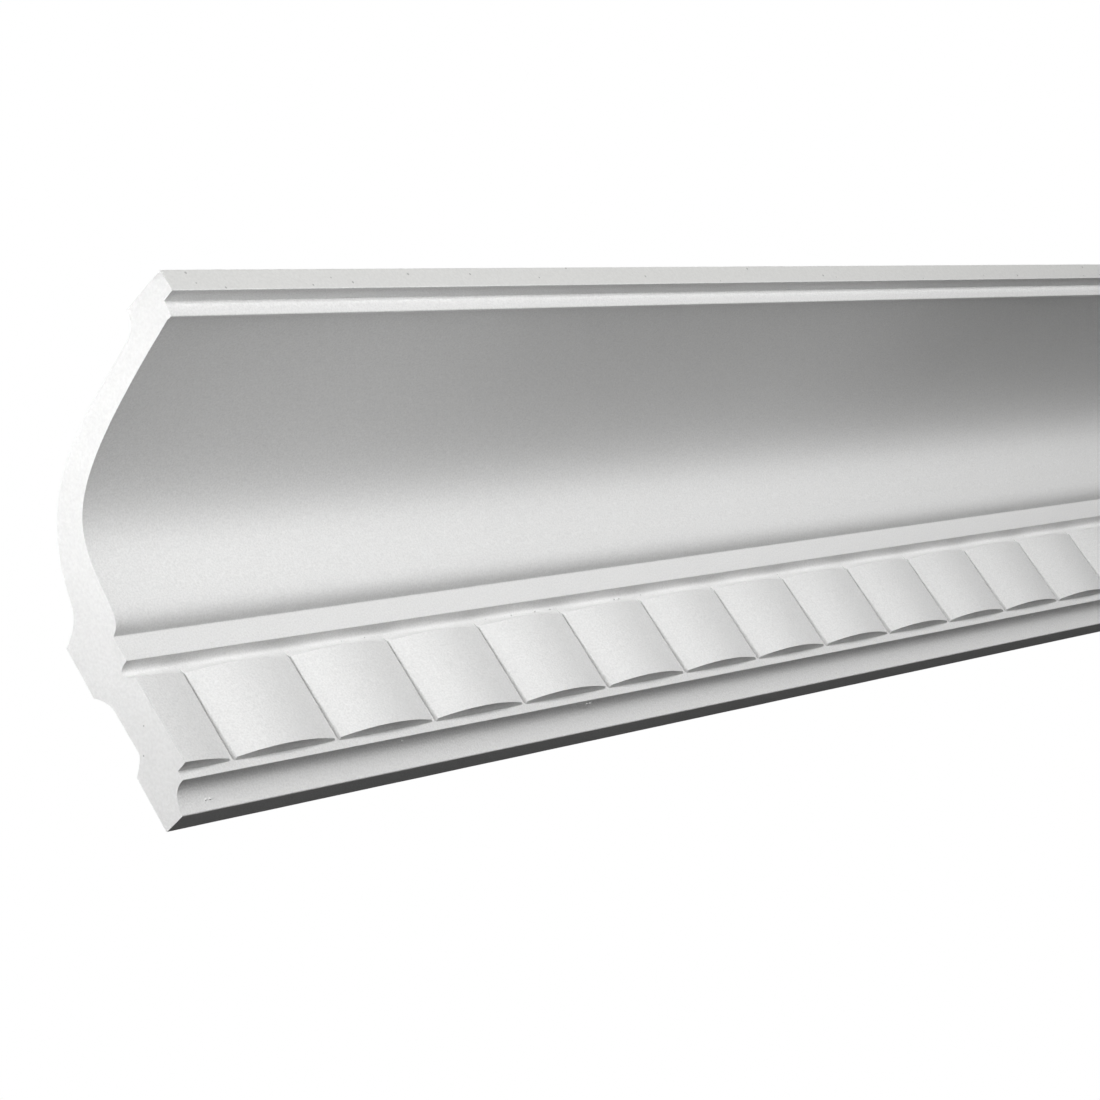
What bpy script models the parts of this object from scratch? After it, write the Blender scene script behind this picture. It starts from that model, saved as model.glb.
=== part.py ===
"""A cornice moulding: a cast length of trim with a wide cove and a band of pillow blocks near its foot.

It stands as it is fixed. X runs along the length, +Y goes into the wall, -Y is the room and +Z is up.
The origin is on the lower wall pad, at the middle of its height and of the moulding's length.
Sizes are in millimetres. An outline point is (out, drop): out from the wall, drop below the ceiling.
"""

from math import cos, pi, radians, sin, sqrt

import bmesh
import bpy
from mathutils import Vector
from mathutils.geometry import interpolate_bezier

MM = 0.001

# Driving sizes
DROP = 150.0
PROJECTION = 126.0
BLOCK_PITCH = 54.3
PITCHES = 18
SAW_CUT = 3.0
LENGTH = BLOCK_PITCH * PITCHES - SAW_CUT

# A bend is a heading and a reach at its start, then a heading and a reach at its end. The headings are in
# degrees: 0 goes to the wall, 90 down, 180 out into the room and 270 up. A longer reach holds its heading
# for longer.

# Fillets at the top
TOP_FILLET_FOOT = 9.3
SECOND_FILLET_TOP_OUT = 120.3
SECOND_FILLET_BELLY = (120.7, 11.6)
SECOND_FILLET_FOOT = (119.6, 15.6)

# The cove, and the rounded nose that ends it
COVE_START = (117.3, 15.3)
COVE_BEND = (8.9, 86.7, 85.1, 34.0)
COVE_END = (29.1, 73.6)
COVE_STEPS = 32
NOSE_BEND = (85.1, 5.2, 18.0, 3.4)
NOSE_END = (23.6, 82.05)
NOSE_STEPS = 6

# The fillet and the small hollow above the blocks
BAND_FILLET_OUT = 23.1
BAND_FILLET_TOP = 82.2
BAND_FILLET_FOOT = 92.7
HOLLOW_BEND = (0.0, 2.6, 90.0, 1.2)
HOLLOW_BED = (18.3, 94.9)

# The rail, which is in one plane with the bed of the blocks, and the lower cove
RAIL_OUT = 19.15
RAIL_FOOT = 140.5
FOOT_BEND = (0.0, 4.7, 90.0, 4.7)
FOOT_OUT = 10.6
FOOT_FILLET_TOP = 149.1
FOOT_STEPS = 10

# Pads on the wall, with a recess between them
LOWER_PAD_TOP = 127.0
RECESS_FOOT_BEND = (213.0, 3.6, 270.0, 2.2)
RECESS_FOOT = (6.6, 120.7)
RECESS_TOP = (6.0, 103.5)
RECESS_TOP_BEND = (270.0, 4.0, 317.0, 4.0)
UPPER_PAD_FOOT = 93.0
UPPER_PAD_TOP = 71.2
SMALL_BEND_STEPS = 6

# The back of the cove, and the pad on the ceiling
SHOULDER_BEND = (198.0, 9.5, 255.7, 6.0)
SHOULDER = (13.1, 59.1)
SHOULDER_STEPS = 8
BACK_BEND = (255.7, 47.4, 192.5, 26.5)
BACK_END = (95.9, 8.4)
BACK_STEPS = 24
CEILING_PAD_BEND = (192.5, 5.2, 264.0, 4.8)
CEILING_PAD_BACK = 103.9

# The blocks. Crown and edge are how far the middle and the sides of a block stand out from the bed. Each
# block narrows a little towards its foot, so the groove beside it widens from a fine line.
BLOCK_TOP = 99.2
BLOCK_FOOT = 136.4
CROWN_AT_TOP = 3.9
CROWN_AT_FOOT = 5.25
EDGE_AT_TOP = 0.75
EDGE_AT_FOOT = 1.5
GROOVE_HALF_AT_TOP = 0.45
GROOVE_HALF_AT_FOOT = 1.75
BLOCK_STEPS = 14
ROOT_DEPTH = 0.6
BAND_BACK = 12.0

# The sweep from the top of the blocks back into the small hollow
SWEEP_START_OUT = 18.2
SWEEP_POWER = 2
SWEEP_STEPS = 4

# The saw cuts
SAW_OVERRUN = 20.0
SAW_MARGIN = 30.0

# Finish
PRIMER_COLOUR = (0.86, 0.86, 0.85, 1.0)
PRIMER_ROUGHNESS = 0.6
SMOOTH_ANGLE = radians(30)

WELD_GAP = 1e-6
ORIGIN_DROP = (DROP + LOWER_PAD_TOP) / 2


def clear_scene():
    for obj in list(bpy.data.objects):
        bpy.data.objects.remove(obj, do_unlink=True)


def new_collection(name):
    group = bpy.data.collections.new(name)
    bpy.context.scene.collection.children.link(group)
    return group


def primed_white():
    """The white primer that covers the whole casting."""
    material = bpy.data.materials.new("white_primer")
    material.use_nodes = True
    shader = material.node_tree.nodes["Principled BSDF"]
    shader.inputs["Base Color"].default_value = PRIMER_COLOUR
    shader.inputs["Roughness"].default_value = PRIMER_ROUGHNESS
    shader.inputs["Metallic"].default_value = 0.0
    return material


def place(x, out, drop):
    """A point in metres, from millimetres along the moulding, out from the wall and below the ceiling."""
    return Vector((x, -out, ORIGIN_DROP - drop)) * MM


def bend(start, shape, end, steps):
    """The points of a smooth bend, without its start."""
    start_heading, start_reach, end_heading, end_reach = shape

    def along(point, heading, reach):
        turn = radians(heading)
        return Vector((point[0] - reach * cos(turn), point[1] + reach * sin(turn), 0.0))

    knots = (
        Vector((*start, 0.0)),
        along(start, start_heading, start_reach),
        along(end, end_heading, -end_reach),
        Vector((*end, 0.0)),
    )
    return [(point.x, point.y) for point in interpolate_bezier(*knots, steps + 1)[1:]]


def front_outline():
    """The moulded face, from the ceiling down to the foot, without the blocks."""
    band_foot = (BAND_FILLET_OUT, BAND_FILLET_FOOT)
    rail_foot = (RAIL_OUT, RAIL_FOOT)
    points = [
        (PROJECTION, 0.0),
        (PROJECTION, TOP_FILLET_FOOT),
        (SECOND_FILLET_TOP_OUT, TOP_FILLET_FOOT),
        SECOND_FILLET_BELLY,
        SECOND_FILLET_FOOT,
        COVE_START,
    ]
    points += bend(COVE_START, COVE_BEND, COVE_END, COVE_STEPS)
    points += bend(COVE_END, NOSE_BEND, NOSE_END, NOSE_STEPS)
    points += [(BAND_FILLET_OUT, BAND_FILLET_TOP), band_foot]
    points += bend(band_foot, HOLLOW_BEND, HOLLOW_BED, SMALL_BEND_STEPS)
    points += [(RAIL_OUT, BLOCK_TOP), rail_foot]
    points += bend(rail_foot, FOOT_BEND, (FOOT_OUT, FOOT_FILLET_TOP), FOOT_STEPS)
    return points + [(FOOT_OUT, DROP)]


def back_outline():
    """The hidden face, from the foot up the wall and out to the ceiling pad."""
    lower_pad_top = (0.0, LOWER_PAD_TOP)
    upper_pad_foot = (0.0, UPPER_PAD_FOOT)
    upper_pad_top = (0.0, UPPER_PAD_TOP)
    ceiling_pad_back = (CEILING_PAD_BACK, 0.0)
    points = [(0.0, DROP), lower_pad_top]
    points += bend(lower_pad_top, RECESS_FOOT_BEND, RECESS_FOOT, SMALL_BEND_STEPS)
    points += [RECESS_TOP]
    points += bend(RECESS_TOP, RECESS_TOP_BEND, upper_pad_foot, SMALL_BEND_STEPS)
    points += [upper_pad_top]
    points += bend(upper_pad_top, SHOULDER_BEND, SHOULDER, SHOULDER_STEPS)
    points += bend(SHOULDER, BACK_BEND, BACK_END, BACK_STEPS)
    points += bend(BACK_END, CEILING_PAD_BEND, ceiling_pad_back, SMALL_BEND_STEPS)
    return points


def extruded(name, outline, length):
    """A mesh object of the outline carried along X, centred on the origin."""
    curve = bpy.data.curves.new(name + "_outline", "CURVE")
    curve.dimensions = "2D"
    curve.fill_mode = "BOTH"
    curve.extrude = length * MM / 2
    spline = curve.splines.new("POLY")
    spline.points.add(len(outline) - 1)
    for knot, (out, drop) in zip(spline.points, outline):
        spot = place(0.0, out, drop)
        knot.co = (spot.y, spot.z, 0.0, 1.0)
    spline.use_cyclic_u = True
    source = bpy.data.objects.new(name + "_outline", curve)
    source.rotation_euler = (pi / 2, 0.0, pi / 2)
    bpy.context.scene.collection.objects.link(source)
    bpy.context.view_layer.update()

    graph = bpy.context.evaluated_depsgraph_get()
    mesh = bpy.data.meshes.new_from_object(source.evaluated_get(graph))
    body = bpy.data.objects.new(name, mesh)
    body.matrix_world = source.matrix_world
    bpy.data.objects.remove(source)
    bpy.data.curves.remove(curve)

    shape = bmesh.new()
    shape.from_mesh(mesh)
    bmesh.ops.remove_doubles(shape, verts=shape.verts, dist=WELD_GAP)
    bmesh.ops.recalc_face_normals(shape, faces=shape.faces)
    shape.to_mesh(mesh)
    shape.free()
    return body


def arc_height(across, half_width, rise):
    """Height of a shallow arc above its chord, at a distance from its middle."""
    radius = (half_width**2 + rise**2) / (2 * rise)
    return sqrt(radius**2 - across**2) - (radius - rise)


def band_plan(crown, edge, groove_half):
    """The row of blocks in plan, as (x, height above the bed), one block more than the length needs."""
    half_width = BLOCK_PITCH / 2 - groove_half
    plan = []
    for block in range(PITCHES + 1):
        middle = (block - PITCHES / 2) * BLOCK_PITCH
        plan.append((middle - half_width, -ROOT_DEPTH))
        for step in range(BLOCK_STEPS + 1):
            across = half_width * (2 * step / BLOCK_STEPS - 1)
            height = edge + arc_height(across, half_width, crown - edge)
            plan.append((middle + across, height))
        plan.append((middle + half_width, -ROOT_DEPTH))
    return plan


def ring(plan, drop, growth=1.0):
    """The plan as a closed loop at one drop. Growth is how much of its full relief it has there."""
    first_x = plan[0][0]
    last_x = plan[-1][0]
    loop = []
    for x, height in plan:
        full = RAIL_OUT + height - SWEEP_START_OUT
        loop.append(place(x, SWEEP_START_OUT + full * growth, drop))
    return loop + [place(last_x, BAND_BACK, drop), place(first_x, BAND_BACK, drop)]


def block_band(name):
    """All the blocks as one loft, from their feet up to the hollow, into which their tops sweep back."""
    foot = band_plan(CROWN_AT_FOOT, EDGE_AT_FOOT, GROOVE_HALF_AT_FOOT)
    top = band_plan(CROWN_AT_TOP, EDGE_AT_TOP, GROOVE_HALF_AT_TOP)
    rings = [ring(foot, BLOCK_FOOT), ring(top, BLOCK_TOP)]
    for step in range(1, SWEEP_STEPS + 1):
        level = 1 - step / SWEEP_STEPS
        drop = HOLLOW_BED[1] + (BLOCK_TOP - HOLLOW_BED[1]) * level
        rings.append(ring(top, drop, level**SWEEP_POWER))

    shape = bmesh.new()
    loops = [[shape.verts.new(point) for point in points] for points in rings]
    count = len(loops[0])
    for lower, upper in zip(loops, loops[1:]):
        for i in range(count):
            j = (i + 1) % count
            shape.faces.new((lower[i], lower[j], upper[j], upper[i]))
    shape.faces.new(loops[0])
    shape.faces.new(loops[-1])
    bmesh.ops.recalc_face_normals(shape, faces=shape.faces)
    mesh = bpy.data.meshes.new(name)
    shape.to_mesh(mesh)
    shape.free()
    return bpy.data.objects.new(name, mesh)


def saw_box(name):
    """The stretch that is kept when both ends are sawn off square."""
    bpy.ops.mesh.primitive_cube_add(size=1.0)
    box = bpy.context.object
    box.name = name
    box.scale = Vector((LENGTH, PROJECTION + 2 * SAW_MARGIN, DROP + 2 * SAW_MARGIN)) * MM
    box.location = place(0.0, PROJECTION / 2, DROP / 2)
    for group in box.users_collection:
        group.objects.unlink(box)
    return box


def add_boolean(body, operation, tool):
    boolean = body.modifiers.new(tool.name, "BOOLEAN")
    boolean.operation = operation
    boolean.solver = "EXACT"
    boolean.object = tool


def main():
    clear_scene()
    parts = new_collection("cornice_moulding")
    tools = new_collection("cornice_tools")
    finish = primed_white()

    body = extruded("cornice_moulding", front_outline() + back_outline(), LENGTH + 2 * SAW_OVERRUN)
    parts.objects.link(body)
    band = block_band("block_band")
    saw = saw_box("square_ends")
    for tool in (band, saw):
        tools.objects.link(tool)
        tool.hide_render = True
        tool.display_type = "WIRE"
    add_boolean(body, "UNION", band)
    add_boolean(body, "INTERSECT", saw)

    for obj in (body, band, saw):
        obj.data.materials.clear()
        obj.data.materials.append(finish)
    body.data.shade_smooth()
    body.data.set_sharp_from_angle(angle=SMOOTH_ANGLE)


main()
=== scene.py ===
# %% [markdown]
# # A cast cornice moulding
#
# A cornice moulding covers the corner between a wall and a ceiling. This one is a single casting: two
# fillets at the top, a wide cove, a rounded nose, a small hollow, a row of pillow-shaped blocks, a rail and
# a small cove at the foot. This lesson models it as one fine mesh, gives it a primed white finish, and
# lights it as a white thing on a white ground, which is a matter of shades alone.
#
# The engineering model is loaded first. It is never changed: everything here is fitted to it.

# %% Load the frame
import random
from math import cos, radians, sin, sqrt

import bmesh
import bpy
import numpy as np
from mathutils import Matrix, Vector, noise


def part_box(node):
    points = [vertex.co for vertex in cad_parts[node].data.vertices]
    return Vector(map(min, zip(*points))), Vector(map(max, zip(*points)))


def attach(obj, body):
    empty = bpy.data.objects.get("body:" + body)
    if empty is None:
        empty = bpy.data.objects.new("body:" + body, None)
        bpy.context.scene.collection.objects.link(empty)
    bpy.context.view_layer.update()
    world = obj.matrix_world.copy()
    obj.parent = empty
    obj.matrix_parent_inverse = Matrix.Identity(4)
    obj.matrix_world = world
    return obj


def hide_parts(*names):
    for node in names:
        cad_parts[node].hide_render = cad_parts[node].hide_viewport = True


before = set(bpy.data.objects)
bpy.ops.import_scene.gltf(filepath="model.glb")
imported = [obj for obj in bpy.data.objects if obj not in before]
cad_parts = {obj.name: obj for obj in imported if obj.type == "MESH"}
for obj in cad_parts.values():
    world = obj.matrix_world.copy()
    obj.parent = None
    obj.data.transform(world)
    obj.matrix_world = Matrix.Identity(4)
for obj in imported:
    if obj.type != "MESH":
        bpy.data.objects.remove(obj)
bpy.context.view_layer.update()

low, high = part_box("cornice_moulding")
MM = 0.001
LENGTH = (high.x - low.x) / MM
PROJECTION = -low.y / MM
DROP = (high.z - low.z) / MM
print(f"the frame's moulding: {LENGTH:.1f} long, {PROJECTION:.1f} out, {DROP:.1f} mm down")

# %% [markdown]
# ## How a point is named
#
# A joiner reads a moulding by its section, so a point of the section is (out, drop) in millimetres: out from
# the wall and down from the ceiling. `place` turns that, with a distance along the length, into metres in
# the frame. The wall is at Y = 0, and the ceiling is at the top of the frame's box.

# %% Section coordinates
CEILING_Z = high.z


def place(x, out, drop):
    return Vector((x * MM, -out * MM, CEILING_Z - drop * MM))


print("ceiling at z", round(CEILING_Z, 4))

# %% [markdown]
# ## The camera
#
# The photograph looks at the moulding from the left and from below, as a person under a ceiling does. The
# camera comes early, because it decides which forms need care. It could be aimed by hand, but here its place
# and its axes were worked out from the parallel lines of the moulding, so they are given as they are: a
# place, the way it looks, and the way up. The lens is long, which keeps the far blocks large.

# %% Place the camera
CAMERA_PLACE = Vector((-1.1655, -0.6810, -0.3171))
CAMERA_LOOKS = Vector((0.7744, 0.5458, 0.3201))
CAMERA_UP = Vector((0.0805, -0.5868, 0.8057))
LENS_MM = 93.17

camera_data = bpy.data.cameras.new("camera")
camera_data.lens = LENS_MM
camera_data.clip_start = 0.05
camera = bpy.data.objects.new("camera", camera_data)
bpy.context.scene.collection.objects.link(camera)
back = -CAMERA_LOOKS.normalized()
right = CAMERA_UP.cross(back).normalized()
axes = Matrix((right, back.cross(right), back)).transposed()
camera.matrix_world = Matrix.Translation(CAMERA_PLACE) @ axes.to_4x4()
bpy.context.scene.camera = camera
print("camera to the near end:", round((CAMERA_PLACE - Vector(low)).length, 3), "m")

# %% [markdown]
# ## Bends and arrises
#
# A section is made of straight runs, hollows and rounds. A `bend` is one Bezier arc between two points, with
# a heading and a reach at each end. An arris is where two faces meet, and no cast arris is dead sharp, so
# `soften` swaps each named corner for a small curve. A bevel modifier could do that, but it would also
# bevel the blocks, whose edges are finer.

# %% Helpers for a section
ARRIS_STEPS = 4


def bend(start, shape, end, steps):
    """A smooth bend after its start. Heading 0 goes to the wall, 90 down, 180 out and 270 up."""
    start_heading, start_reach, end_heading, end_reach = shape

    def along(point, heading, reach):
        turn = radians(heading)
        return np.array((point[0] - reach * cos(turn), point[1] + reach * sin(turn)))

    p0, p3 = np.array(start), np.array(end)
    p1, p2 = along(start, start_heading, start_reach), along(end, end_heading, -end_reach)
    points = []
    for step in range(1, steps + 1):
        t = step / steps
        s = 1 - t
        points.append(tuple(s**3 * p0 + 3 * s * s * t * p1 + 3 * s * t * t * p2 + t**3 * p3))
    return points


def soften(outline, corners):
    """The outline with each corner named in corners, {index: radius}, swapped for a small curve."""
    points = []
    for i, point in enumerate(outline):
        if i not in corners:
            points.append(point)
            continue
        here = np.array(point)
        before, after = np.array(outline[i - 1]), np.array(outline[(i + 1) % len(outline)])
        start = here + (before - here) * corners[i] / np.linalg.norm(before - here)
        end = here + (after - here) * corners[i] / np.linalg.norm(after - here)
        for step in range(ARRIS_STEPS + 1):
            t = step / ARRIS_STEPS
            points.append(tuple((1 - t) ** 2 * start + 2 * t * (1 - t) * here + t * t * end))
    return points


def held(value, least=0.0, most=1.0):
    return min(max(value, least), most)


# %% [markdown]
# ## The face above the blocks
#
# From the ceiling down: the top fillet, an undercut, a second fillet with a bellied face, the wide cove, a
# rounded nose, and a plain fillet whose foot rolls back into the small hollow over the blocks. The fillets
# are kept almost sharp, because their thin lines of light and shade are what the eye follows.

# %% The upper face
TOP_FILLET_FOOT = 9.3
SECOND_FILLET_TOP_OUT = 120.3
SECOND_FILLET_BELLY = (120.7, 11.6)
SECOND_FILLET_FOOT = (119.6, 15.6)
COVE_START = (117.3, 15.3)
COVE_BEND = (8.9, 86.7, 85.1, 34.0)
COVE_END = (29.1, 73.6)
COVE_STEPS = 42
NOSE_BEND = (85.1, 5.2, 18.0, 3.4)
NOSE_END = (23.6, 82.05)
NOSE_STEPS = 10
BAND_FILLET_OUT = 23.1
BAND_FILLET_TOP = 82.2
BAND_FILLET_FOOT = 92.7
HOLLOW_BEND = (0.0, 3.3, 90.0, 1.0)
HOLLOW_BED = (18.3, 94.9)
HOLLOW_STEPS = 10
# Corner number in the outline below, and the radius of its arris.
UPPER_ARRISES = {1: 0.5, 2: 0.5, 3: 1.6, 4: 0.6}
BAND_ARRISES = {1: 0.5, 2: 0.4}

upper_corners = [
    (PROJECTION, 0.0),
    (PROJECTION, TOP_FILLET_FOOT),
    (SECOND_FILLET_TOP_OUT, TOP_FILLET_FOOT),
    SECOND_FILLET_BELLY,
    SECOND_FILLET_FOOT,
    COVE_START,
]
# The very top corner is softened at the end of the back, so its own point is left out here.
upper = soften(upper_corners, UPPER_ARRISES)[1:]
upper += bend(COVE_START, COVE_BEND, COVE_END, COVE_STEPS)
upper += bend(COVE_END, NOSE_BEND, NOSE_END, NOSE_STEPS)
band = [
    NOSE_END,
    (BAND_FILLET_OUT, BAND_FILLET_TOP),
    (BAND_FILLET_OUT, BAND_FILLET_FOOT),
    (BAND_FILLET_OUT - 1.0, BAND_FILLET_FOOT),
]
upper += soften(band, BAND_ARRISES)[1:-1]
hollow_start = (BAND_FILLET_OUT - BAND_ARRISES[2], BAND_FILLET_FOOT)
upper += bend(hollow_start, HOLLOW_BEND, HOLLOW_BED, HOLLOW_STEPS)
print("upper face:", len(upper), "points")

# %% [markdown]
# ## The foot and the back
#
# Below the blocks runs a rail, then a small cove and a narrow fillet at the foot. The back is plainer, as it
# is never seen once the moulding is up: a pad on the wall, a recess for adhesive, a second pad, the hollow
# back of the cove, and the pad that meets the ceiling.

# %% The foot and the back
RAIL_OUT = 19.15
RAIL_TOP = 136.75
RAIL_FOOT = 140.5
RAIL_ARRIS = 0.35
FOOT_BEND = (0.0, 5.6, 80.0, 4.5)
FOOT_OUT = 10.6
FOOT_FILLET_TOP = 149.1
FOOT_ARRIS = 0.8
FOOT_STEPS = 12
BACK_ARRIS = 0.5
LOWER_PAD_TOP = 127.0
RECESS_FOOT_BEND = (213.0, 3.6, 270.0, 2.2)
RECESS_FOOT = (6.6, 120.7)
RECESS_TOP = (6.0, 103.5)
RECESS_TOP_BEND = (270.0, 4.0, 317.0, 4.0)
RECESS_STEPS = 6
UPPER_PAD_FOOT = 93.0
UPPER_PAD_TOP = 71.2
SHOULDER_BEND = (198.0, 9.5, 255.7, 6.0)
SHOULDER = (13.1, 59.1)
SHOULDER_STEPS = 8
BACK_BEND = (255.7, 47.4, 192.5, 26.5)
BACK_END = (95.9, 8.4)
BACK_STEPS = 22
CEILING_PAD_BEND = (192.5, 5.2, 264.0, 4.8)
CEILING_PAD_BACK = 103.9
CEILING_PAD_STEPS = 6

rail_corners = [(RAIL_OUT, RAIL_TOP), (RAIL_OUT, RAIL_FOOT), (RAIL_OUT - 1.0, RAIL_FOOT)]
foot_corners = [(FOOT_OUT, FOOT_FILLET_TOP), (FOOT_OUT, DROP), (0.0, DROP)]
heel_corners = [(FOOT_OUT, DROP), (0.0, DROP), (0.0, LOWER_PAD_TOP)]
top_corners = [(CEILING_PAD_BACK, 0.0), (PROJECTION, 0.0), (PROJECTION, TOP_FILLET_FOOT)]

foot = soften(rail_corners, {1: RAIL_ARRIS})[:-1]
foot += bend((RAIL_OUT - RAIL_ARRIS, RAIL_FOOT), FOOT_BEND, (FOOT_OUT, FOOT_FILLET_TOP), FOOT_STEPS)
foot += soften(foot_corners, {1: FOOT_ARRIS})[1:-1]
back_face = soften(heel_corners, {1: BACK_ARRIS})[1:]
back_face += bend((0.0, LOWER_PAD_TOP), RECESS_FOOT_BEND, RECESS_FOOT, RECESS_STEPS)
back_face += [RECESS_TOP]
back_face += bend(RECESS_TOP, RECESS_TOP_BEND, (0.0, UPPER_PAD_FOOT), RECESS_STEPS)
back_face += [(0.0, UPPER_PAD_TOP)]
back_face += bend((0.0, UPPER_PAD_TOP), SHOULDER_BEND, SHOULDER, SHOULDER_STEPS)
back_face += bend(SHOULDER, BACK_BEND, BACK_END, BACK_STEPS)
back_face += bend(BACK_END, CEILING_PAD_BEND, (CEILING_PAD_BACK, 0.0), CEILING_PAD_STEPS)
back_face += soften(top_corners, {1: BACK_ARRIS})[1:-1]
print("foot:", len(foot), "points; back:", len(back_face), "points")

# %% [markdown]
# ## The row of blocks
#
# Each block is a pillow: a shallow arc in plan that stands out further at its foot than at its top. A fine
# crack parts it from the next, and leans a little to the right. On the crack's left the block draws back
# towards its foot and leaves a narrow landing in the rail's own plane, and its shoulder grows rounder. The
# shoulder on the crack's right stays steep. Blocks could be modelled once and repeated, but their
# tops sweep back into the hollow above, so they are a relief: a height above the bed for every place.

# %% Height of the blocks above their bed
PITCH = 54.3
HALF_PITCH = PITCH / 2
BLOCK_TOP = 99.2
BLOCK_FOOT = 136.4
CROWN_AT_TOP, CROWN_AT_FOOT = 3.9, 5.25
EDGE_AT_TOP, EDGE_AT_FOOT = 0.75, 1.5
CRACK_HALF = 0.4
CRACK_WALL = 0.05
CRACK_EDGE = CRACK_HALF + CRACK_WALL
CRACK_AT_TOP, CRACK_AT_FOOT = 0.5, 0.35
LEAN_AT_TOP, LEAN_AT_FOOT = 0.3, 1.25
SHOULDER_AT_TOP = 0.3
LEFT_SHOULDER_AT_FOOT, RIGHT_SHOULDER_AT_FOOT = 1.3, 0.5
LANDING_AT_FOOT = 1.2
FALL_AT_TOP, FALL_AT_FOOT = 0.3, 0.95
EDGE_INSET_AT_TOP, EDGE_INSET_AT_FOOT = 0.6, 1.75


def from_joint(x):
    """Distance past the nearest joint between two blocks: negative before it, positive after it."""
    return x % PITCH - HALF_PITCH


def blend(at_top, at_foot, level):
    return at_top + (at_foot - at_top) * level


def shoulder_width(to_the_right, level):
    at_foot = RIGHT_SHOULDER_AT_FOOT if to_the_right else LEFT_SHOULDER_AT_FOOT
    return blend(SHOULDER_AT_TOP, at_foot, level)


def landing_width(to_the_right, level):
    return 0.0 if to_the_right else LANDING_AT_FOOT * level


def block_height(past, level):
    """Height above the bed. past is the place past the joint, and level runs from 0, top, to 1, foot."""
    crown = blend(CROWN_AT_TOP, CROWN_AT_FOOT, level)
    edge = blend(EDGE_AT_TOP, EDGE_AT_FOOT, level)
    half_width = HALF_PITCH - blend(EDGE_INSET_AT_TOP, EDGE_INSET_AT_FOOT, level)
    rise = crown - edge
    radius = (half_width**2 + rise**2) / (2 * rise)
    across = min(HALF_PITCH - abs(past), half_width)
    body = edge + sqrt(radius**2 - across**2) - (radius - rise)
    from_crack = past - blend(LEAN_AT_TOP, LEAN_AT_FOOT, level)
    gap = abs(from_crack)
    to_the_right = from_crack > 0
    shoulder_start = CRACK_EDGE + landing_width(to_the_right, level)
    up_the_shoulder = held((gap - shoulder_start) / shoulder_width(to_the_right, level))
    face = body * (1 - blend(FALL_AT_TOP, FALL_AT_FOOT, level) * (1 - up_the_shoulder) ** 2)
    crack = -blend(CRACK_AT_TOP, CRACK_AT_FOOT, level)
    return crack + (face - crack) * held((gap - CRACK_HALF) / CRACK_WALL)


print("height at a block's middle:", block_height(HALF_PITCH, 0), "to", block_height(HALF_PITCH, 1), "mm")

# %% [markdown]
# ## Mesh lines that follow the crack
#
# The crack leans, its shoulders widen and its landing opens, and a mesh whose lines ran straight down would
# cut them into steps. So the lines near a joint lean with the crack and spread with what lies beside it, less
# and less with distance from it. The surfaces above and below are straight along the length, so sliding
# points along them does no harm.

# %% Slide of the mesh lines
SLIDE_END = 8.0
SHOULDER_END = CRACK_EDGE + SHOULDER_AT_TOP
# Two mesh lines stand this close at the top, and part at the foot to the landing's two sides.
LANDING_LINE = 0.005


def slid(past, level):
    """Where a mesh line that stands at past, by the joint, has got to at this level."""
    side = 1 if past >= 0 else -1
    gap = abs(past)
    fading = held((SLIDE_END - gap) / (SLIDE_END - SHOULDER_END))
    widened = shoulder_width(side > 0, level) - SHOULDER_AT_TOP
    outward = widened * min(fading, held((gap - CRACK_EDGE) / SHOULDER_AT_TOP))
    outward += landing_width(side > 0, level) * min(fading, held((gap - CRACK_EDGE) / LANDING_LINE))
    return past + side * outward + blend(LEAN_AT_TOP, LEAN_AT_FOOT, level) * fading


print("the ends of the shoulders at the foot:", slid(-SHOULDER_END, 1.0), slid(SHOULDER_END, 1.0))

# %% [markdown]
# ## One section at a time
#
# Every section has the same number of points, so that two neighbours join into a strip of quads. Only the
# stretch over the blocks changes from one to the next: the sweep, the face, a fine arris and the underside.

# %% The stretch of section over the blocks
SWEEP_START_OUT = 18.25
SWEEP_POWER = 2.0
SWEEP_STEPS = 7
FACE_STEPS = 14
LOWER_ARRIS = 0.3
# Insets and drops that round the lower arris. The middle and the root of the underside come after it.
ARRIS_POINTS = ((0.08, -0.08), (0.3, 0.0))
ROOT = 0.02


def block_stretch(x):
    past = from_joint(x)
    points = []

    def add(level, drop, out_of):
        here = slid(past, level)
        points.append((x + here - past, out_of(block_height(here, level)), drop))

    for step in range(1, SWEEP_STEPS + 1):
        growth = (step / SWEEP_STEPS) ** SWEEP_POWER
        drop = HOLLOW_BED[1] + (BLOCK_TOP - HOLLOW_BED[1]) * step / SWEEP_STEPS
        add(0.0, drop, lambda height: SWEEP_START_OUT + (RAIL_OUT + height - SWEEP_START_OUT) * growth)
    for step in range(1, FACE_STEPS + 1):
        drop = BLOCK_TOP + (BLOCK_FOOT - LOWER_ARRIS - BLOCK_TOP) * step / FACE_STEPS
        level = (drop - BLOCK_TOP) / (BLOCK_FOOT - BLOCK_TOP)
        add(level, drop, lambda height: RAIL_OUT + height)
    for inset, rise in ARRIS_POINTS:
        add(1.0, BLOCK_FOOT + rise, lambda height: RAIL_OUT + max(height - inset, ROOT))
    add(1.0, (BLOCK_FOOT + RAIL_TOP) / 2, lambda height: RAIL_OUT + max(height / 2, ROOT))
    add(1.0, RAIL_TOP - ROOT, lambda height: RAIL_OUT + ROOT)
    add(1.0, RAIL_TOP, lambda height: RAIL_OUT)
    return points


print("over the blocks:", len(block_stretch(0.0)), "points")

# %% [markdown]
# ## Stations along the length
#
# A section is placed wherever the form changes: close together at the joints, where a groove is cut in a
# few tenths of a millimetre, and wide apart over the faces. Even spacing as fine as that would need far more
# of them. Both ends are sawn close to the middle of a block, so the pattern runs on from one length to the
# next.

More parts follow.
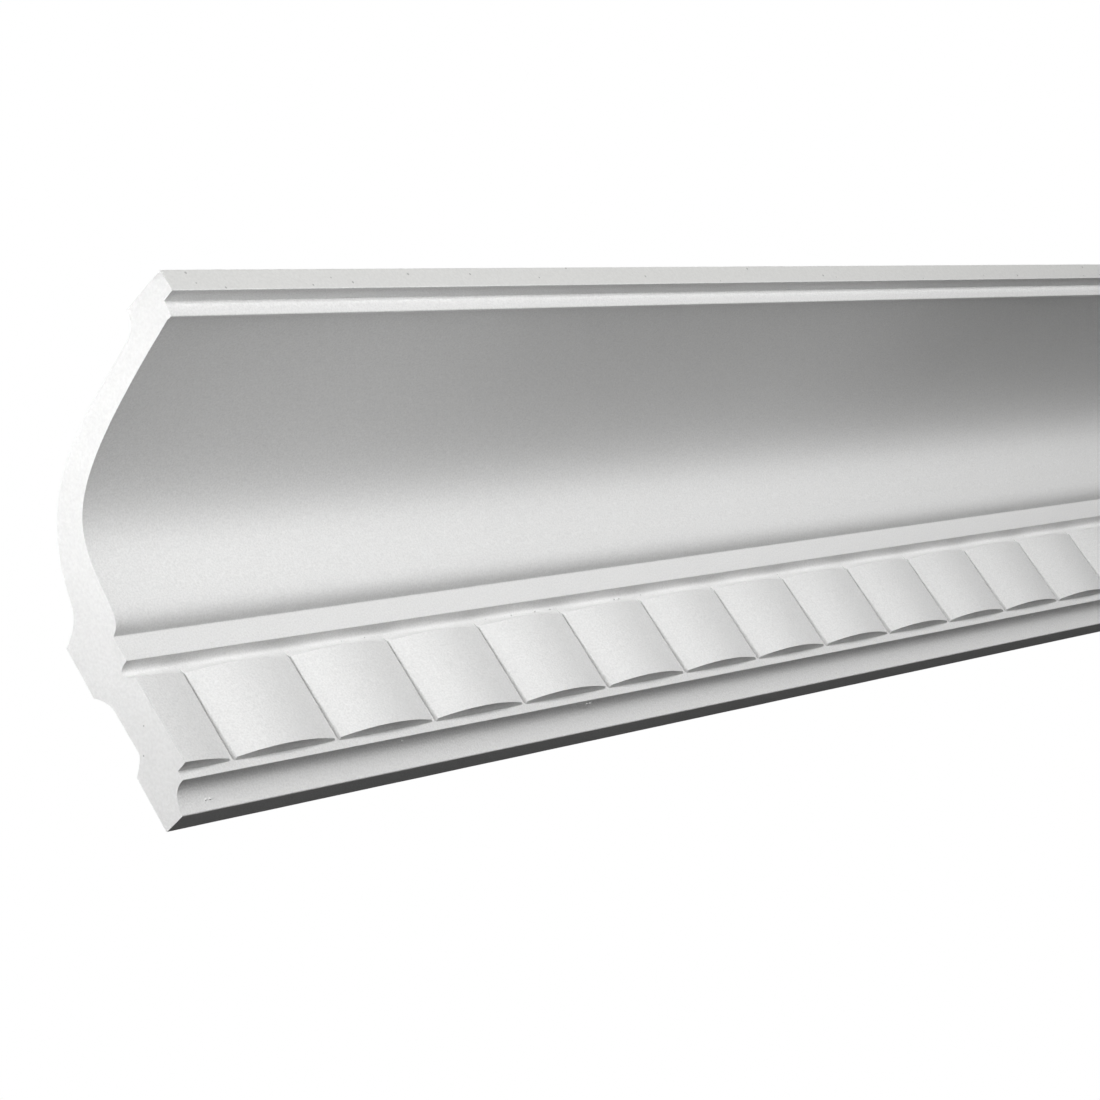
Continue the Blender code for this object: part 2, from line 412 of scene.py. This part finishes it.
# %% Stations
JOINT_STATIONS = (0.0, 0.4, 0.45, 0.455, 0.53, 0.62, 0.75, 1.4, 3.5, 8.0)
FACE_STATIONS = 4
END_CLEARANCE = 1.0

half_block = list(JOINT_STATIONS)
for step in range(1, FACE_STATIONS + 1):
    half_block.append(JOINT_STATIONS[-1] + (HALF_PITCH - JOINT_STATIONS[-1]) * step / FACE_STATIONS)
half_count = int(LENGTH / 2 / PITCH) + 1
stations = {-LENGTH / 2, LENGTH / 2}
for number in range(-half_count, half_count):
    joint = (number + 0.5) * PITCH
    for gap in half_block:
        for x in (joint - gap, joint + gap):
            if abs(x) < LENGTH / 2 - END_CLEARANCE:
                stations.add(round(x, 4))
stations = sorted(stations)
print(len(stations), "stations from", stations[0], "to", stations[-1])

# %% [markdown]
# ## Loft the sections
#
# The sections are laid out as one grid of points, and each cell of the grid is a quad. A cast surface is
# never quite true, so every point is let in by up to a tenth of a millimetre, by a slow noise: enough to
# make the long light along the cove waver a little, as it does on the real casting.

# %% Build the grid
UNEVEN = 0.10
UNEVEN_SCALE = 28.0
UNEVEN_ACROSS = 1.5
LEAST_TANGENT = 1e-9


def section_at(x):
    above = [(x, out, drop) for out, drop in upper]
    below = [(x, out, drop) for out, drop in foot[1:] + back_face]
    return above + block_stretch(x) + below


grid = np.array([section_at(x) for x in stations])
count = grid.shape[1]
tangent = (np.roll(grid, -1, axis=1) - np.roll(grid, 1, axis=1))[..., 1:]
tangent /= np.maximum(np.linalg.norm(tangent, axis=2, keepdims=True), LEAST_TANGENT)
# Going round from the ceiling down the face, the material lies on the wall's side of each run.
inward = np.stack([-tangent[..., 1], tangent[..., 0]], axis=2)
for row in range(len(stations)):
    for column in range(count):
        x, out, drop = grid[row, column]
        wave = noise.noise(Vector((x, out * UNEVEN_ACROSS, drop * UNEVEN_ACROSS)) / UNEVEN_SCALE)
        grid[row, column, 1:] += inward[row, column] * UNEVEN * 0.5 * (1 + wave)
print("grid:", grid.shape[0], "x", count, "points")

# %% [markdown]
# ## Close the ends
#
# The moulding is sawn square at both ends. An end is one flat face inside the outline, so it is filled with
# triangles all at once: a grid of quads would gain nothing on a flat face.

# %% Make the mesh
SAWN_FINISH = 1
BACK_FINISH = 2

verts = [place(*point) for section in grid for point in section]
faces = []
for row in range(len(stations) - 1):
    for column in range(count):
        following = (column + 1) % count
        here, there = row * count, (row + 1) * count
        faces.append((here + column, here + following, there + following, there + column))
mesh = bpy.data.meshes.new("moulding_length")
mesh.from_pydata(verts, [], faces)

shape = bmesh.new()
shape.from_mesh(mesh)
open_edges = [edge for edge in shape.edges if edge.is_boundary]
for end in (-1, 1):
    rim = [edge for edge in open_edges if edge.verts[0].co.x * end > 0]
    filled = bmesh.ops.triangle_fill(shape, use_beauty=True, use_dissolve=False, edges=rim)
    for face in filled["geom"]:
        if isinstance(face, bmesh.types.BMFace):
            face.material_index = SAWN_FINISH
bmesh.ops.recalc_face_normals(shape, faces=shape.faces)
print("open edges left:", sum(edge.is_boundary for edge in shape.edges))

# %% [markdown]
# ## Nibs in the corners
#
# Air trapped in a mould leaves little beads of material on the casting, mostly in its inner corners. The
# ones seen in the photograph are placed where they are, with a single one on the band fillet and two in the
# lower cove, and the rest are strewn with a fixed seed. Each is a small ball, a little longer than it is
# high, half sunk in the surface, which is enough for something about a millimetre wide.

# %% Cast nibs
NIB_SEED = 11
NIB_STRETCH = Matrix.Diagonal((1.3, 1.0, 1.0, 1.0))
SEEN_RADIUS = 0.42
STREWN_RADII = (0.18, 0.38)
STREWN_SHIFT = 0.2
CLEAR_OF_NEAR_END, CLEAR_OF_FAR_END = 30, 5
UNDERCUT = (119.9, 9.2)
SMALL_HOLLOW = (18.9, 95.6)
LOWER_COVE = (17.4, 141.1)
LOWER_COVE_BED = (11.5, 145.9)
BAND_FILLET_FACE = (BAND_FILLET_OUT, 90.3)
SEEN_NIBS = (
    (UNDERCUT, (-471.9, -453.0, -446.0)),
    (SMALL_HOLLOW, (-273.5, -258.3, -248.4, -204.6, -201.2)),
    (BAND_FILLET_FACE, (-444.6,)),
    (LOWER_COVE_BED, (-474.1, -471.9)),
)
STREWN_NIBS = ((UNDERCUT, 12), (SMALL_HOLLOW, 14), (LOWER_COVE, 8))

random.seed(NIB_SEED)
nibs = [(x, *corner, SEEN_RADIUS) for corner, places in SEEN_NIBS for x in places]
for corner, number in STREWN_NIBS:
    for _ in range(number):
        x = random.uniform(-LENGTH / 2 + CLEAR_OF_NEAR_END, LENGTH / 2 - CLEAR_OF_FAR_END)
        drop = corner[1] + random.uniform(-STREWN_SHIFT, STREWN_SHIFT)
        nibs.append((x, corner[0], drop, random.uniform(*STREWN_RADII)))
for x, out, drop, radius in nibs:
    spot = Matrix.Translation(place(x, out, drop)) @ NIB_STRETCH
    bmesh.ops.create_icosphere(shape, subdivisions=1, radius=radius * MM, matrix=spot)
shape.to_mesh(mesh)
shape.free()
print(len(nibs), "nibs")

# %% [markdown]
# ## Shading
#
# The moulding is smooth along its bends and crisp at its arrises, so edges over a set angle are marked
# sharp, and the normals are weighted by area. That keeps the broad faces flat right up to their arrises.

# %% Smooth and sharp
SHARP_ANGLE = radians(42)

mesh.shade_smooth()
mesh.set_sharp_from_angle(angle=SHARP_ANGLE)
moulding = bpy.data.objects.new("moulding_length", mesh)
bpy.context.scene.collection.objects.link(moulding)
even = moulding.modifiers.new("even_normals", "WEIGHTED_NORMAL")
even.keep_sharp = True
triangles = sum(len(face.vertices) - 2 for face in mesh.polygons)
print("moulding:", len(mesh.vertices), "points,", triangles, "triangles")

# %% [markdown]
# ## A shared cast grain
#
# White is a hard finish to fake, since all that tells it from plastic is how it breaks up the light. Three
# things do that here: a fine grain from the spray, a slow orange peel, and a few pinholes. They are one node
# group, used by the primed skin, by the sawn ends and by the back, each with its own amounts. Positions are
# the object's own, in metres, so the grain keeps its size on any face.

# %% Node helpers
# Sockets of a colour mix: its two colours, and its result.
COLOUR_A, COLOUR_B, MIXED = 6, 7, 2
GROUP_INPUTS = {"Grain Scale": 900.0, "Peel Scale": 160.0, "Pit Scale": 90.0, "Pit Size": 0.05}
# The pinhole mask output marks where the finishes paint shade into the pinholes.
GROUP_OUTPUTS = ("Mottle", "Speckle", "Pit Shade Mask", "Height")


def add_node(tree, kind, **settings):
    node = tree.nodes.new(kind)
    for name, value in settings.items():
        setattr(node, name, value)
    return node


def join(tree, *pairs):
    for start, end in pairs:
        tree.links.new(start, end)


def cast_grain_group():
    """Grain from object positions: slow and fine masks, a mask of pinholes for the bump and for painted
    shade, and a height for a bump.
    """
    tree = bpy.data.node_groups.new("cast_grain", "ShaderNodeTree")
    for name, value in GROUP_INPUTS.items():
        socket = tree.interface.new_socket(name=name, in_out="INPUT", socket_type="NodeSocketFloat")
        socket.default_value = value
    for name in GROUP_OUTPUTS:
        tree.interface.new_socket(name=name, in_out="OUTPUT", socket_type="NodeSocketFloat")
    given = add_node(tree, "NodeGroupInput")
    result = add_node(tree, "NodeGroupOutput")
    where = add_node(tree, "ShaderNodeTexCoord")

    grain = add_node(tree, "ShaderNodeTexNoise")
    grain.inputs["Detail"].default_value = 3.0
    grain.inputs["Roughness"].default_value = 0.6
    speckle = add_node(tree, "ShaderNodeMapRange")
    speckle.inputs["From Min"].default_value = 0.3
    speckle.inputs["From Max"].default_value = 0.7
    peel = add_node(tree, "ShaderNodeTexNoise")
    peel.inputs["Detail"].default_value = 1.0
    mottle = add_node(tree, "ShaderNodeTexNoise")
    mottle.inputs["Scale"].default_value = 38.0
    mottle.inputs["Detail"].default_value = 4.0
    cells = add_node(tree, "ShaderNodeTexVoronoi", feature="F1")
    inside = add_node(tree, "ShaderNodeMath", operation="LESS_THAN")
    deep = add_node(tree, "ShaderNodeMath", operation="MULTIPLY")
    deep.inputs[1].default_value = -0.6
    peel_share = add_node(tree, "ShaderNodeMath", operation="MULTIPLY")
    peel_share.inputs[1].default_value = 0.6
    total = add_node(tree, "ShaderNodeMath", operation="ADD")
    height = add_node(tree, "ShaderNodeMath", operation="ADD")
    join(
        tree,
        (where.outputs["Object"], grain.inputs["Vector"]),
        (where.outputs["Object"], peel.inputs["Vector"]),
        (where.outputs["Object"], mottle.inputs["Vector"]),
        (where.outputs["Object"], cells.inputs["Vector"]),
        (given.outputs["Grain Scale"], grain.inputs["Scale"]),
        (given.outputs["Peel Scale"], peel.inputs["Scale"]),
        (given.outputs["Pit Scale"], cells.inputs["Scale"]),
        (cells.outputs["Distance"], inside.inputs[0]),
        (given.outputs["Pit Size"], inside.inputs[1]),
        (inside.outputs["Value"], deep.inputs[0]),
        (peel.outputs["Fac"], peel_share.inputs[0]),
        (grain.outputs["Fac"], speckle.inputs["Value"]),
        (grain.outputs["Fac"], total.inputs[0]),
        (peel_share.outputs["Value"], total.inputs[1]),
        (total.outputs["Value"], height.inputs[0]),
        (deep.outputs["Value"], height.inputs[1]),
        (mottle.outputs["Fac"], result.inputs["Mottle"]),
        (speckle.outputs["Result"], result.inputs["Speckle"]),
        (inside.outputs["Value"], result.inputs["Pit Shade Mask"]),
        (height.outputs["Value"], result.inputs["Height"]),
    )
    return tree


cast_grain = cast_grain_group()
print("cast grain:", len(cast_grain.nodes), "nodes")

# %% [markdown]
# ## Three finishes
#
# The primer is the whitest and the most even. The sawn ends show the casting's own white, a little chalkier,
# with the pores of the cut. The back has the duller skin that the mould left, with a broader peel and more
# pinholes. Each finish mixes two near whites by the mottle, adds flecks of a third by the grain, paints shade
# into the pinholes with a darker colour, and spreads the roughness a little.

# %% Materials
def cast_white(name, pale, dull, fleck, pit_shade, roughness, grain, bump):
    """A finish of the casting: four colours, the last of them painted shade for the pinholes, a pair for the
    roughness, the grain's inputs, and its depth.
    """
    material = bpy.data.materials.new(name)
    material.use_nodes = True
    tree = material.node_tree
    shader = tree.nodes["Principled BSDF"]
    group = add_node(tree, "ShaderNodeGroup", node_tree=cast_grain)
    for socket, value in grain.items():
        group.inputs[socket].default_value = value
    patches = add_node(tree, "ShaderNodeMix", data_type="RGBA")
    patches.inputs[COLOUR_A].default_value = (*pale, 1.0)
    patches.inputs[COLOUR_B].default_value = (*dull, 1.0)
    flecked = add_node(tree, "ShaderNodeMix", data_type="RGBA")
    flecked.inputs[COLOUR_B].default_value = (*fleck, 1.0)
    # Painted shade: the pinholes are darkened towards the pit colour, which stands in for the shade inside
    # them.
    pit_shaded = add_node(tree, "ShaderNodeMix", data_type="RGBA")
    pit_shaded.inputs[COLOUR_B].default_value = (*pit_shade, 1.0)
    spread_of = add_node(tree, "ShaderNodeMapRange")
    spread_of.inputs["To Min"].default_value = roughness[0]
    spread_of.inputs["To Max"].default_value = roughness[1]
    relief = add_node(tree, "ShaderNodeBump")
    relief.inputs["Strength"].default_value = 1.0
    relief.inputs["Distance"].default_value = bump
    join(
        tree,
        (group.outputs["Mottle"], patches.inputs["Factor"]),
        (patches.outputs[MIXED], flecked.inputs[COLOUR_A]),
        (group.outputs["Speckle"], flecked.inputs["Factor"]),
        (flecked.outputs[MIXED], pit_shaded.inputs[COLOUR_A]),
        (group.outputs["Pit Shade Mask"], pit_shaded.inputs["Factor"]),
        (pit_shaded.outputs[MIXED], shader.inputs["Base Color"]),
        (group.outputs["Mottle"], spread_of.inputs["Value"]),
        (spread_of.outputs["Result"], shader.inputs["Roughness"]),
        (group.outputs["Height"], relief.inputs["Height"]),
        (relief.outputs["Normal"], shader.inputs["Normal"]),
    )
    return material


# Each finish's pit colour is painted shade in the pinholes.
primer = cast_white(
    "white_primer",
    pale=(0.955, 0.955, 0.95),
    dull=(0.94, 0.94, 0.935),
    fleck=(0.81, 0.81, 0.805),
    pit_shade=(0.80, 0.80, 0.79),
    roughness=(0.50, 0.64),
    grain={"Grain Scale": 1300.0, "Peel Scale": 150.0, "Pit Scale": 40.0, "Pit Size": 0.012},
    bump=0.00016,
)
sawn = cast_white(
    "sawn_end",
    pale=(0.96, 0.96, 0.955),
    dull=(0.94, 0.94, 0.935),
    fleck=(0.87, 0.87, 0.865),
    pit_shade=(0.62, 0.62, 0.61),
    roughness=(0.70, 0.85),
    grain={"Grain Scale": 800.0, "Peel Scale": 400.0, "Pit Scale": 90.0, "Pit Size": 0.04},
    bump=0.00015,
)
mould_back = cast_white(
    "mould_back",
    pale=(0.84, 0.84, 0.825),
    dull=(0.77, 0.77, 0.755),
    fleck=(0.74, 0.74, 0.725),
    pit_shade=(0.50, 0.50, 0.49),
    roughness=(0.45, 0.75),
    grain={"Grain Scale": 900.0, "Peel Scale": 70.0, "Pit Scale": 160.0, "Pit Size": 0.09},
    bump=0.00006,
)
for material in (primer, sawn, mould_back):
    mesh.materials.append(material)
front_count = count - len(back_face)
for face in mesh.polygons:
    if face.material_index == 0 and face.index < len(faces) and face.index % count >= front_count:
        face.material_index = BACK_FINISH
print("faces by finish:", [sum(f.material_index == i for f in mesh.polygons) for i in range(3)])

# %% [markdown]
# ## Put it in the frame
#
# The fine mesh stands for the engineering model's solid and rides on the same body.

# %% Ride and replace
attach(moulding, "root")
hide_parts("cornice_moulding")

# %% [markdown]
# ## Floor
#
# The moulding hangs at ceiling height, so a plain pale floor lies well below it and is out of the picture.

# %% Lay the floor
FLOOR_BELOW = 2.4

bpy.ops.mesh.primitive_plane_add(size=6.0, location=(0.0, 0.0, low.z - FLOOR_BELOW))
floor = bpy.context.object
floor.name = "floor"
pale_floor = bpy.data.materials.new("pale_floor")
pale_floor.use_nodes = True
floor_shader = pale_floor.node_tree.nodes["Principled BSDF"]
floor_shader.inputs["Base Color"].default_value = (0.8, 0.8, 0.8, 1.0)
floor_shader.inputs["Roughness"].default_value = 0.9
floor.data.materials.append(pale_floor)
print("floor", FLOOR_BELOW, "m below the moulding")

# %% [markdown]
# ## Soft lights
#
# The shades in the photograph tell where its light came from: the sawn end is the lightest face, each block
# is lighter on its left, and the undersides are the darkest. So a large soft light stands in front, one
# stands well to the left, and a small one stands off the left end. Two more keep the back and the far end
# from going black. A light is placed by its direction from the moulding: azimuth 0 is straight in front, 90
# is off the left end, and elevation is up from level.

# %% Lights
AIM = Vector((-0.30, -0.05, 0.06))
# Name, azimuth, elevation, distance, size in metres, and watts.
LIGHTS = (
    ("front", -4, 8, 1.6, 0.9, 19.5),
    ("left", 80, 3, 1.6, 0.6, 12.6),
    ("end", 90, 0, 0.7, 0.3, 0.35),
    ("behind", 165, 30, 1.6, 0.9, 8.0),
    ("far_end", -100, 10, 1.6, 0.6, 2.0),
)


def soft_light(name, azimuth, elevation, distance, size, watts):
    a, e = radians(azimuth), radians(elevation)
    way = Vector((-sin(a) * cos(e), -cos(a) * cos(e), sin(e)))
    data = bpy.data.lights.new(name, "AREA")
    data.shape = "DISK"
    data.size = size
    data.energy = watts
    light = bpy.data.objects.new(name, data)
    light.location = AIM + way * distance
    light.rotation_euler = (-way).to_track_quat("-Z", "Y").to_euler()
    bpy.context.scene.collection.objects.link(light)


for settings in LIGHTS:
    soft_light(*settings)
print(len(LIGHTS), "soft lights")

# %% [markdown]
# ## Three narrow beams
#
# The upper cove faces the floor, yet it is not black in the photograph, while the underside of the foot is.
# A strip with a narrow beam does that: it stands low in front, and its beam passes the foot and lands on the
# cove. The nearer strip is stronger, because the cove is paler towards the sawn end. The sawn end itself is
# brightest at its top, so a third beam falls on it from above.

# %% Beams
# Name, where it stands, where it points, its two sides in metres, spread in degrees, and watts.
BEAMS = (
    ("strip_near", (-0.45, -0.30, -0.25), (-0.45, -0.10, 0.13), (0.30, 0.04), 30, 0.0167),
    ("strip_far", (-0.15, -0.30, -0.25), (-0.15, -0.10, 0.13), (0.30, 0.04), 30, 0.0079),
    ("end_high", (-1.00, -0.10, 0.22), (-0.487, -0.07, 0.115), (0.12, 0.12), 29, 0.026),
)

for name, stand, target, size, spread_degrees, watts in BEAMS:
    data = bpy.data.lights.new(name, "AREA")
    data.shape = "RECTANGLE"
    data.size, data.size_y = size
    data.spread = radians(spread_degrees)
    data.energy = watts
    beam = bpy.data.objects.new(name, data)
    beam.location = stand
    beam.rotation_euler = (Vector(target) - Vector(stand)).to_track_quat("-Z", "Y").to_euler()
    bpy.context.scene.collection.objects.link(beam)
print(len(BEAMS), "beams")

# %% [markdown]
# ## A white ground
#
# The photograph is cut out on white. The world is white for the camera alone: if it also lit the moulding,
# it would fill every shadow and the form would go flat.

# %% World
world = bpy.data.worlds.new("white_ground")
bpy.context.scene.world = world
world.use_nodes = True
nodes, links = world.node_tree.nodes, world.node_tree.links
ground = nodes["Background"]
ground.inputs["Color"].default_value = (1.0, 1.0, 1.0, 1.0)
dim = nodes.new("ShaderNodeBackground")
dim.inputs["Color"].default_value = (1.0, 1.0, 1.0, 1.0)
dim.inputs["Strength"].default_value = 0.0
path = nodes.new("ShaderNodeLightPath")
mix = nodes.new("ShaderNodeMixShader")
links.new(path.outputs["Is Camera Ray"], mix.inputs["Fac"])
links.new(dim.outputs["Background"], mix.inputs[1])
links.new(ground.outputs["Background"], mix.inputs[2])
links.new(mix.outputs["Shader"], nodes["World Output"].inputs["Surface"])
bpy.context.scene.view_settings.view_transform = "Standard"
print("white ground for the camera, none for the light")
